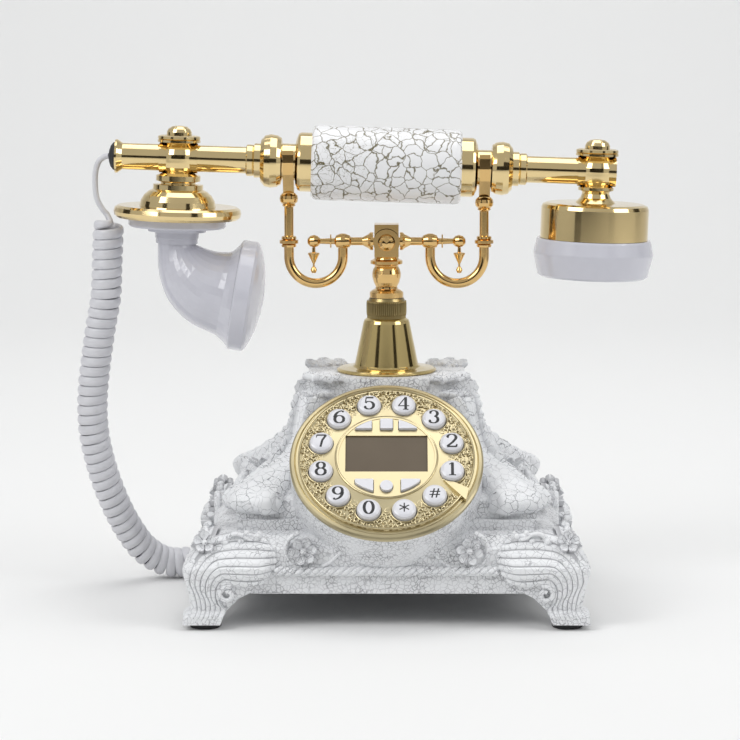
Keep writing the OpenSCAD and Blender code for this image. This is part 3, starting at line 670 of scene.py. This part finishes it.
def flower(centre, across, up, radius, petals=5, turn=0.0):
    """Rounded cupped petals round a button, facing across x up, with shade painted where the petals
    meet.
    """
    across, up = unit(np.asarray(across, float)), unit(np.asarray(up, float))
    normal = np.cross(across, up)
    centre = np.asarray(centre, float)
    T, S = np.meshgrid(np.linspace(-1, 1, 11), np.linspace(0, 1, 12))
    w = radius * 2.15 / petals * np.sin(math.pi * np.clip(S, 0.1, 0.985) ** 1.7) ** 0.6
    cup = 0.08 * T ** 2 - 0.2 * (1 - T ** 2) * np.sin(math.pi * S)
    lift = radius * (0.12 + 0.32 * S + cup)
    # shade painted along each petal's sides and round its root, where it meets the next petals and
    # the button
    edge = 0.55 * np.clip((np.abs(T) - 0.75) / 0.25, 0, 1) + 0.4 * np.clip(1 - S / 0.25, 0, 1)
    parts = []
    for k in range(petals):
        a = math.radians(turn + 360 * k / petals)
        reach = math.cos(a) * across + math.sin(a) * up
        side = -math.sin(a) * across + math.cos(a) * up
        flat = (centre + (radius * (0.1 + 0.9 * S))[..., None] * reach
                + (w * T)[..., None] * side)
        parts.append(slab(flat + lift[..., None] * normal, flat - radius * 0.25 * normal, edge))
    parts.append(blob(centre + normal * radius * 0.2,
                      (radius * 0.26, radius * 0.26, radius * 0.2), (across, up, normal)))
    return joined(parts)


X, Y, Z = np.eye(3)
diagonal = unit(np.array([-1.0, -1.0, 0.0]))
square = unit(np.array([1.0, -1.0, 0.0]))
parts = []
# leaves over the platform's corner, with berries on them
for turn_deg, length, width in ((-62, 13.5, 11), (-22, 15, 12), (22, 15, 12), (62, 13.5, 11)):
    a = math.radians(turn_deg)
    flow = diagonal * math.cos(a) + square * math.sin(a)
    parts.append(leaf((-27.5, -22.5, 110.0), flow + Z * 0.10, Z - flow * 0.1, length, width,
                      curl=0.16, depth=2.4))
    parts.append(leaf((-31, -25.5, 107.5), flow - Z * 0.35, Z + flow * 0.4, length * 0.72,
                      width * 0.85, curl=0.12, lobes=3, depth=1.8))
parts.append(blob((-29, -23.5, 112.5), (5.5, 5.5, 3.4)))
for x, y, z, r in ((-24, -21, 113.2, 2.0), (-29.5, -19, 113.6, 1.8), (-25.5, -26, 112.6, 1.8),
                   (-33.5, -24.5, 113.0, 1.6), (-30.5, -28.5, 112.4, 1.6)):
    parts.append(blob((x, y, z), (r, r, r * 0.8)))
leaves = joined(parts)
parts, middle = [], []
# Half of a bud over the middle of the side, and of the leaves that run down to it. What
# stands on the side's centre line isn't mirrored, so it's kept apart.
flank_z = [49.5, 58, 63.5, 70, 77, 84, 91, 98, 105]
flank_x = [-72.5, -71, -63, -53, -47, -44.5, -43, -41.5, -40]
for a in np.radians([-150, -90, -30, 180, 0]):
    flow = unit(np.array([-0.45 + 0.6 * math.cos(a), 0.6 * math.sin(a), 1.0]))
    (parts if abs(math.sin(a)) > 0.1 else middle).append(
        leaf((-59.5 + 1.8 * math.cos(a), 1.8 * math.sin(a), 62.5), flow,
             unit(np.array([math.cos(a), math.sin(a), 0.35])), 8.6, 8.0, curl=0.16, lobes=2,
             depth=2.0))
middle.append(blob((-61.2, 0, 66.4), (3.4, 3.4, 4.2)))
for y, z, length, width in ((0, 103, 13, 13), (-7, 95, 13, 11), (0, 90, 13, 14), (-9, 82, 12, 12),
                            (0, 79, 12, 14), (-18, 76, 13, 12), (-9, 70, 13, 12),
                            (-26, 70, 12, 12), (-17, 65, 12, 12), (-33, 64, 11, 12)):
    top_x, low_x = np.interp([z, z - length * 0.85], flank_z, flank_x)
    fall = unit(np.array([low_x - top_x, y * 0.02 * length, -length * 0.85]))
    (parts if y else middle).append(
        leaf((top_x - 0.2, y, z), fall, (fall[2], 0, -fall[0]), length, width, curl=0.05,
             depth=2.0))
buds = joined(parts)
parts = []
# half of a crest of two scrolls and small leaves that leans on the middle of the side
slope, lean = unit(np.array([-0.52, 0, -0.85])), unit(np.array([-0.85, 0, 0.52]))
heart = np.array([-76.0, 0.0, 51.5])
hook = spiral(heart - 13 * Y - 1.5 * slope, -Y, -slope, 5.4, 200, -1.35)
parts.append(scroll(np.vstack([heart - 6 * slope, heart - 6.8 * slope - 5 * Y, hook[2:]]),
                    [4, 4.4, 3.6, 2.8, 3.8], [6, 6, 5, 4, 5], lean))
parts.append(blob(heart - 13 * Y - 1.5 * slope, (2.6, 2.6, 2.6)))
for y, up_slope, size, away in ((-20, -1.5, 2.6, 1), (-17, -6, 2.8, 1), (-11, -7.6, 3.0, 1),
                                (-5, -7.6, 2.8, 0), (0, -8.2, 3.4, 0)):
    (parts if y else middle).append(
        leaf(heart + y * Y + (up_slope + 2.6) * slope, -slope - 0.25 * away * Y, lean,
             size * 2.2, size * 2, curl=0.1, lobes=3, depth=1.4))
parts.append(leaf(heart + 6 * slope - 5 * Y, -slope - 0.3 * Y, lean, 11, 7, curl=0.1, depth=1.8))
crests = joined(parts)
parts = []
# flower on the shoulder of each leg and a small S scroll with berries beside it
for seat, look in (((-86.5, -82.0, 41.0), (0, -0.85, 0.5)),
                   ((-89.0, -75.0, 41.0), (-0.85, 0, 0.5))):
    look = unit(np.array(look))
    side = unit(np.cross(Z, look))
    parts.append(flower(seat, side, np.cross(look, side), 5.4, 5, 20))
s_scroll = [(-76, -79.2, 42.2), (-74, -79.8, 44.6), (-70, -80.2, 45.0), (-66, -79.8, 42.6),
            (-62, -79.4, 42.4), (-60.4, -79.2, 44.2), (-61.6, -79.2, 45.6)]
side_scroll = [(y - side_shift, x + side_shift, z) for x, y, z in s_scroll]
for track, out in ((s_scroll, Y), (side_scroll, X)):
    parts.append(scroll(track, [2.4, 2.0, 1.8, 2.0, 2.6], [3, 2.6, 2.6, 2.6, 3], out))
berry_y = -80.2
for x, z, r in ((-77, 41.2, 1.9), (-61.8, 43.9, 1.6), (-69.4, 41.4, 1.5), (-66.6, 45.6, 1.3)):
    parts.append(blob((x, berry_y, z), (r, r, r)))
    parts.append(blob((berry_y - side_shift, x + side_shift, z), (r, r, r)))
for centre, across, out in (((-75.6, -86.6, 17.0), X, Y), ((-93.6, -68.6, 17.0), Y, X)):
    track = spiral(centre, across, Z, 4.2, 65, 1.15, shrink=0.7)
    parts.append(scroll(track, [3.2, 2.6, 2.2, 2.6], [4.4, 4, 3.6, 4], out))
flowers = joined(parts)
parts = []
# rosette: a C scroll round a six petalled flower on the front and the side of the skirt
for centre, across, look in (((-39.5, -82.0, 37.4), X, -Y), ((-87.0, -33.5, 37.4), -Y, -X)):
    centre = np.asarray(centre, float)
    ring = spiral(centre - 0.3 * look, across, Z, 8.8, 105, 0.53, shrink=0.05)
    run = [centre + across * x + Z * z for x, z in ((9.0, -7.4), (14.0, -4.4), (19.0, 0.4))]
    parts.append(scroll(np.vstack([ring, run]), [2.6, 2.2, 2.2, 2.2, 1.2], [3.4, 3, 3, 3, 2], look))
    parts.append(flower(centre + look * 0.9, across, Z, 6.4, 6, 12))
rosettes = joined(parts)
for name, sx, sy in corners:
    for label, (points, faces) in (("leaves_", leaves), ("bud_", buds), ("crest_", crests),
                                   ("flowers_", flowers), ("rosettes_", rosettes)):
        piece(label + name, world_points(mirrored(points, sx, sy)), faces,
              relief_glaze, "base", sharp=60)
points, faces = joined(middle)
for name, sx in (("left", -1), ("right", 1)):
    piece("middle_" + name, world_points(mirrored(points, sx, -1)), faces, relief_glaze, "base",
          sharp=60)

# the rope: three strands laid together along each side of the skirt
lay_length = 11.4
for name, half_span, face, along, look in (("front", 53, 83.0, X, -Y), ("back", 53, 83.0, X, Y),
                                           ("left", 46, 88, Y, -X), ("right", 46, 88, Y, X)):
    span = 2 * half_span
    at = np.linspace(0, 1, round(span / 0.55))[:, None]
    middle = look * face + Z * 27.6 - along * half_span + along * span * at
    strands = []
    for k in range(3):
        a = 2 * math.pi * (at * span / lay_length + k / 3)
        strands.append(tube(middle + 1.25 * (np.cos(a) * look + np.sin(a) * Z), 2.3, 2.3, look, 10))
    points, faces = joined(strands)
    piece("rope_" + name, world_points(points), faces, relief_glaze, "base", sharp=80)


# ---- Dial -----------------------------------------------------------------------------
# A pressed brass-coloured plate with an embossed band of small curls between its rolled
# rim and the smooth centre panel. A finger stop is screwed to it, as on a rotary dial.
def metal(name, colour, roughness, speckle=0.0, scale=900):
    """Polished brass whose tone and polish vary slightly over the surface."""
    material, tree, shader = paint(name, colour, roughness, metallic=1.0)
    cloud = own_noise(tree, 60, 5)["Fac"]
    tree.links.new(ranged(tree, cloud, 0, 1, roughness * 0.75, roughness * 1.35),
                   shader.inputs["Roughness"])
    mottle(tree, shader, cloud, [k * 0.93 for k in colour], colour, (0.3, 0.7))
    if speckle:
        relief(tree, shader, own_noise(tree, scale)["Fac"], speckle, 0.0003)
    return material


dial_gold = metal("dial_gold", (0.62, 0.535, 0.33), 0.30)
embossed_gold = metal("dial_gold_embossed", (0.70, 0.61, 0.39), 0.26, speckle=0.2, scale=1400)
dress(dial_gold, "dial_plate", "centre_panel", "finger_stop")
tilt = math.radians(43.6)
dial_side = np.array([1.0, 0, 0])
dial_up = np.array([0, math.cos(tilt), math.sin(tilt)])
dial_out = np.array([0, -math.sin(tilt), math.cos(tilt)])
dial_at = np.array([0, -66, 77.9])


def on_dial(points):
    """Frame metres from millimetres across, up and out of the dial."""
    p = np.asarray(points, float)
    p = p.reshape(-1, p.shape[-1])
    return world_points(dial_at + p[:, :1] * dial_side + p[:, 1:2] * dial_up
                        + p[:, 2:] * dial_out)


# each key's angle round the dial in degrees, from the right and anticlockwise
key_angle = {"key_1": -15, "key_2": 15, "key_3": 45, "key_4": 75, "key_5": 105, "key_6": 135,
             "key_7": 165, "key_8": -165, "key_9": -135, "key_0": -105, "key_star": -75,
             "key_hash": -45}
key_ring = 32.4
plate_face = 2.3
band_in, band_out = 25.6, 40.6
key_clear = 7.4
curl_gap = 2.05
stop_angle = -0.50
# curls at random places in the band, clear of the keys, of each other and of the stop
draw = np.random.default_rng(7)
key_spots = {key: key_ring * np.array([math.cos(math.radians(a)), math.sin(math.radians(a))])
             for key, a in key_angle.items()}
spots = []
for _ in range(26000):
    r, a = math.sqrt(draw.uniform(band_in ** 2, band_out ** 2)), draw.uniform(0, 2 * math.pi)
    spot = np.array([r * math.cos(a), r * math.sin(a)])
    if min(np.linalg.norm(k - spot) for k in key_spots.values()) < key_clear:
        continue
    if spots and np.min(np.linalg.norm(np.array(spots) - spot, axis=1)) < curl_gap:
        continue
    if abs(math.atan2(spot[1], spot[0]) - stop_angle) < 0.12 and r > 26:
        continue
    spots.append(spot)
seats = on_dial([(x, y, plate_face) for x, y in spots])
curl_track = spiral((0, 0, 0), X, Y, 1.3, 0, 0.85, shrink=0.6)
curl_shape = tube(curl_track, np.linspace(0.75, 0.62, len(curl_track)), 0.62, Z, 8)
tilt_turn = Matrix.Rotation(tilt, 4, "X")
turns = [(tilt_turn @ Matrix.Rotation(draw.uniform(0, 2 * math.pi), 4, "Z")).to_euler()
         for _ in spots]


def copies_on_points(tree, sockets):
    """One copy of the motif on every point, turned and sized by the point's attributes."""
    shape = add(tree, "GeometryNodeObjectInfo", Object=sockets["Motif"])
    turn = add(tree, "GeometryNodeInputNamedAttribute", Name="turn")
    turn.data_type = "FLOAT_VECTOR"
    big = add(tree, "GeometryNodeInputNamedAttribute", Name="size")
    scaled = add(tree, "ShaderNodeMath", i0=big.outputs["Attribute"], i1=sockets["Size"])
    scaled.operation = "MULTIPLY"
    return add(tree, "GeometryNodeInstanceOnPoints", Points=sockets["Geometry"],
               Instance=shape.outputs["Geometry"], Rotation=turn.outputs["Attribute"],
               Scale=scaled.outputs[0]).outputs["Instances"]


def copies(name, shape, seats, turns, sizes, material):
    """Small copies of a shape in millimetres, cast on the base at the seats in metres."""
    points, faces = shape
    motif = bpy.data.objects.new(name + "_motif", bpy.data.meshes.new(name + "_motif"))
    motif.data.from_pydata((points * MM).tolist(), [], faces)
    bpy.context.scene.collection.objects.link(motif)
    mesh = bpy.data.meshes.new(name)
    mesh.from_pydata(seats.tolist(), [], [])
    mesh.attributes.new("turn", "FLOAT_VECTOR", "POINT").data.foreach_set(
        "vector", np.array(turns, np.float32).ravel())
    mesh.attributes.new("size", "FLOAT", "POINT").data.foreach_set(
        "value", np.asarray(sizes, np.float32))
    grown(name, mesh, {"Motif": motif, "Size": 1.0}, copies_on_points, material, "base")
    bpy.data.objects.remove(motif)


def bead(middle, radius, half_wide, half_high, z, turns, sides):
    """A closed ring of oval section that lies on the dial round its middle."""
    a, b = np.meshgrid(np.linspace(0, 2 * math.pi, turns, endpoint=False),
                       np.linspace(0, 2 * math.pi, sides, endpoint=False), indexing="ij")
    reach = radius + half_wide * np.cos(b)
    points = np.stack([middle[0] + reach * np.cos(a), middle[1] + reach * np.sin(a),
                       z + half_high * np.sin(b)], -1)
    return points.reshape(-1, 3), grid_faces(turns, sides, wrap_rows=True)


copies("dial_embossing", curl_shape, seats, turns, draw.uniform(0.8, 1.2, len(spots)),
       embossed_gold)
for name, radius, low, high in (("dial_lip", 24.4, 2.0, 3.9), ("dial_bead", 41.9, 2.0, 3.4)):
    points, faces = bead((0, 0), radius, 0.5, (high - low) / 2, (low + high) / 2, 180, 12)
    piece(name, on_dial(points), faces, dial_gold, "base")
points, faces = joined([bead(spot, 6.45, 0.35, 0.35, plate_face, 48, 8)
                        for spot in key_spots.values()])
piece("key_hole_lips", on_dial(points[:, :3]), faces, dial_gold, "base")

glass, tree, shader = paint("display_glass", (0.085, 0.068, 0.048), 0.4)
shader.inputs["Specular IOR Level"].default_value = 0.25
mottle(tree, shader, own_noise(tree, 45, 3)["Fac"], (0.115, 0.088, 0.06), (0.145, 0.115, 0.08))
dress(glass, "display")


# ---- Keys -----------------------------------------------------------------------------
# Twelve domed white plastic keys stand round the dial and six small ones on the centre
# panel. Each round key carries a black serif digit, printed on its crown.
def gloss(name, colour, roughness, scale=220):
    """Moulded glossy plastic with a faint unevenness."""
    material, tree, shader = paint(name, colour, roughness, coat=0.4)
    cloud = own_noise(tree, scale, 3)["Fac"]
    mottle(tree, shader, cloud, [k * 0.95 for k in colour], colour)
    relief(tree, shader, cloud, 0.04)
    return material


key_white = gloss("key_plastic", (0.72, 0.72, 0.76), 0.24)
dress(key_white, *key_angle, "key_top_left", "key_top_mid", "key_top_right", "key_low_left",
      "key_low_mid", "key_low_right")
ink, tree, shader = paint("key_ink", (0.012, 0.012, 0.014), 0.4)
tree.links.new(ranged(tree, own_noise(tree, 2500)["Fac"], 0, 1, 0.35, 0.5),
               shader.inputs["Roughness"])


def arc(cx, cy, rx, ry, start, end, steps=18):
    """Points of an arc of an ellipse, angles in degrees."""
    a = np.radians(np.linspace(start, end, steps))
    return [(cx + rx * math.cos(k), cy + ry * math.sin(k)) for k in a]


def dot(x, y, r=0.22):
    """A small round blot."""
    return arc(x, y, r, r, 0, 360), 0.5


# Strokes of each character in a box 4.6 wide and 7 high. A stroke's thickness follows its
# direction, as with a broad pen, unless the stroke is given one of its own.
glyphs = {
    "key_1": [([(0.1, -3.2), (0.1, 3.2)], 1.0), ([(0.1, 3.2), (-0.5, 2.6), (-1.3, 2.3)], 0.4),
              ([(-1.4, -3.3), (1.6, -3.3)], 0.35)],
    "key_2": [(arc(0, 1.7, 1.85, 1.7, 170, -35) + [(0.4, -0.8), (-1.9, -3.0)], 0),
              ([(-2.0, -3.1), (1.3, -3.1), (1.95, -3.0), (2.2, -1.9)], 0.6), dot(-1.6, 1.9)],
    "key_3": [(arc(-0.1, 1.75, 1.6, 1.6, 155, -80), 0),
              (arc(-0.2, -1.45, 1.9, 1.85, 80, -155), 0), dot(-1.5, 2.1), dot(-1.75, -2.1, 0.25)],
    "key_4": [([(0.8, -3.2), (0.8, 3.3)], 0.95), ([(0.8, 3.3), (-2.3, -1.4)], 0.38),
              ([(-2.4, -1.45), (2.3, -1.45)], 0.4), ([(-0.4, -3.3), (2.0, -3.3)], 0.35)],
    "key_5": [([(-1.3, 3.0), (1.8, 3.0)], 0.7), ([(-1.3, 3.1), (-1.6, 0.2)], 0.38),
              (arc(-0.1, -1.15, 2.0, 2.05, 140, -150), 0), dot(-1.7, -2.0, 0.25)],
    "key_6": [(arc(0.1, -1.3, 1.9, 1.95, 0, 360, 30), 0),
              (arc(1.7, -0.6, 3.55, 3.9, 178, 95), 0), dot(1.6, 2.9)],
    "key_7": [([(-1.9, 2.95), (2.0, 2.95)], 0.65), ([(2.0, 3.0), (0.4, 0.2), (-0.3, -3.3)], 0.75),
              ([(-1.9, 3.1), (-2.1, 1.7)], 0.35)],
    "key_8": [(arc(0, 1.75, 1.55, 1.6, 0, 360, 30), 0), (arc(0, -1.6, 1.95, 1.8, 0, 360, 30), 0)],
    "key_9": [(arc(-0.1, 1.3, 1.9, 1.95, 0, 360, 30), 0),
              (arc(-1.7, 0.6, 3.55, 3.9, -2, -85), 0), dot(-1.6, -2.9)],
    "key_0": [(arc(0, 0, 1.9, 3.2, 0, 360, 40), 0)],
    "key_star": [(arc(0, 0, 2.3, 2.3, a - 180, a, 2), 0.45) for a in (30, 90, 150)],
    "key_hash": [([(-1.3, -2.4), (-0.2, 2.4)], 0.5), ([(0.5, -2.4), (1.6, 2.4)], 0.5),
                 ([(-2.1, 0.8), (2.3, 0.8)], 0.42), ([(-2.3, -0.8), (2.1, -0.8)], 0.42)]}
glyph_scale = 1.13
print_top = 0.035
print_root = -0.06
ray_height = 9
inward = Vector(-dial_out)
for key, strokes in glyphs.items():
    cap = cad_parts[key].data
    crown = BVHTree.FromPolygons([tuple(v.co) for v in cap.vertices],
                                 [tuple(p.vertices) for p in cap.polygons])
    parts = []
    for track, thickness in strokes:
        track = evenly(np.array(track, float), 0.16) * glyph_scale
        flow = unit(np.gradient(track, axis=0))
        width = (np.full(len(track), thickness * 1.4) if thickness
                 else 0.5 + 0.95 * np.abs(flow[:, 1]) ** 1.4)
        sideways = np.column_stack([-flow[:, 1], flow[:, 0]]) * width[:, None] / 2
        hits = []
        for edge in (-1, -0.34, 0.34, 1):
            above = on_dial(np.column_stack([track + sideways * edge + key_spots[key],
                                             np.full(len(track), ray_height)]))
            hits.append([tuple(crown.ray_cast(Vector(p), inward)[0]) for p in above])
        hits = np.array(hits).transpose(1, 0, 2)
        parts.append(slab(hits + dial_out * print_top * MM, hits + dial_out * print_root * MM))
    points, faces = joined(parts)
    piece("print_" + key, points[:, :3], faces, ink, key)


# ---- Pillar, cradle and handset metal -------------------------------------------------
# Turned and cast brass, polished and lacquered. The pillar is the most olive, the cradle
# warmer and the handset paler. The collar's grip is knurled with sixty fine flutes.
pillar_gold = metal("pillar_gold", (0.66, 0.51, 0.22), 0.11)
cradle_gold = metal("cradle_gold", (0.74, 0.49, 0.20), 0.10)
handset_gold = metal("handset_gold", (0.82, 0.64, 0.33), 0.10)
knurled_brass = metal("knurled_brass", (0.36, 0.28, 0.13), 0.28, speckle=0.2)
dress(pillar_gold, "pillar_flange", "pillar_cone")
dress(cradle_gold, "cradle_stem", "cross_rod", "drop_finials", "cradle_hooks", "handset_forks")
dress(handset_gold, "grip_ferrules", "handset_tubes", "tee_bosses", "top_finials",
      "mouthpiece_bell", "receiver_cup")
dress(knurled_brass, "knurled_collar")
flutes = 60
collar_low, collar_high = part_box("knurled_collar")
collar_r = (collar_high.x - collar_low.x) / 2 / MM
collar_z = (collar_low.z + collar_high.z) / 2 / MM
flute_thick = np.array([0.3, 0.6, 0.7, 0.7, 0.7, 0.7, 0.7, 0.6, 0.3])
flute = tube(np.array([(0, 0, z) for z in np.linspace(-3.6, 3.6, len(flute_thick))]),
             flute_thick, flute_thick, X, 8)
angles = np.linspace(0, 2 * math.pi, flutes, endpoint=False)
copies("collar_flutes", flute, world_points([(collar_r * math.cos(a), collar_r * math.sin(a),
                                              collar_z) for a in angles]),
       [(0, 0, a) for a in angles], np.ones(flutes), knurled_brass)


# ---- Grip and plastics ----------------------------------------------------------------
# The grip is a sleeve glazed like the base but with bolder cracks. The horn, the caps and
# the sockets are glossy moulded plastic, the pads and the grommet black rubber.
dress(grip_glaze, "grip_sleeve")
white_plastic = gloss("white_plastic", (0.60, 0.60, 0.66), 0.2)
dress(white_plastic, "horn_collar", "mouthpiece_horn", "mouth_cap", "ear_cap", "handset_jack",
      "line_jack")
dress(gloss("clear_plug", (0.75, 0.75, 0.77), 0.12), "cord_plug")
dress(gloss("black_plastic", (0.02, 0.02, 0.022), 0.4), "ringer", "hook_switch", "microphone",
      "receiver_capsule")
dress(gloss("circuit_board", (0.04, 0.2, 0.09), 0.45, 900), "main_board", "keypad_board")


def matt(name, colour, roughness, metallic=0.0, scale=700):
    """A matt material with a fine grain."""
    material, tree, shader = paint(name, colour, roughness, metallic=metallic)
    grain = own_noise(tree, scale, 4)["Fac"]
    mottle(tree, shader, grain, [k * 0.8 for k in colour], colour)
    relief(tree, shader, grain, 0.2)
    return material


dress(matt("black_rubber", (0.022, 0.022, 0.025), 0.6), "foot_pads", "cord_grommet")
dress(matt("silicone_mat", (0.4, 0.4, 0.42), 0.7), "key_mat")
dress(matt("steel", (0.5, 0.51, 0.53), 0.35, metallic=1.0), "base_plate", "base_screws",
      "lift_spring", "spine_rod")
dress(cord_grey, "cord_curl", "cord_tail", "cord_lead")


size = {"cad": [list(v) for v in cad_box], "visual": [list(v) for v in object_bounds()]}
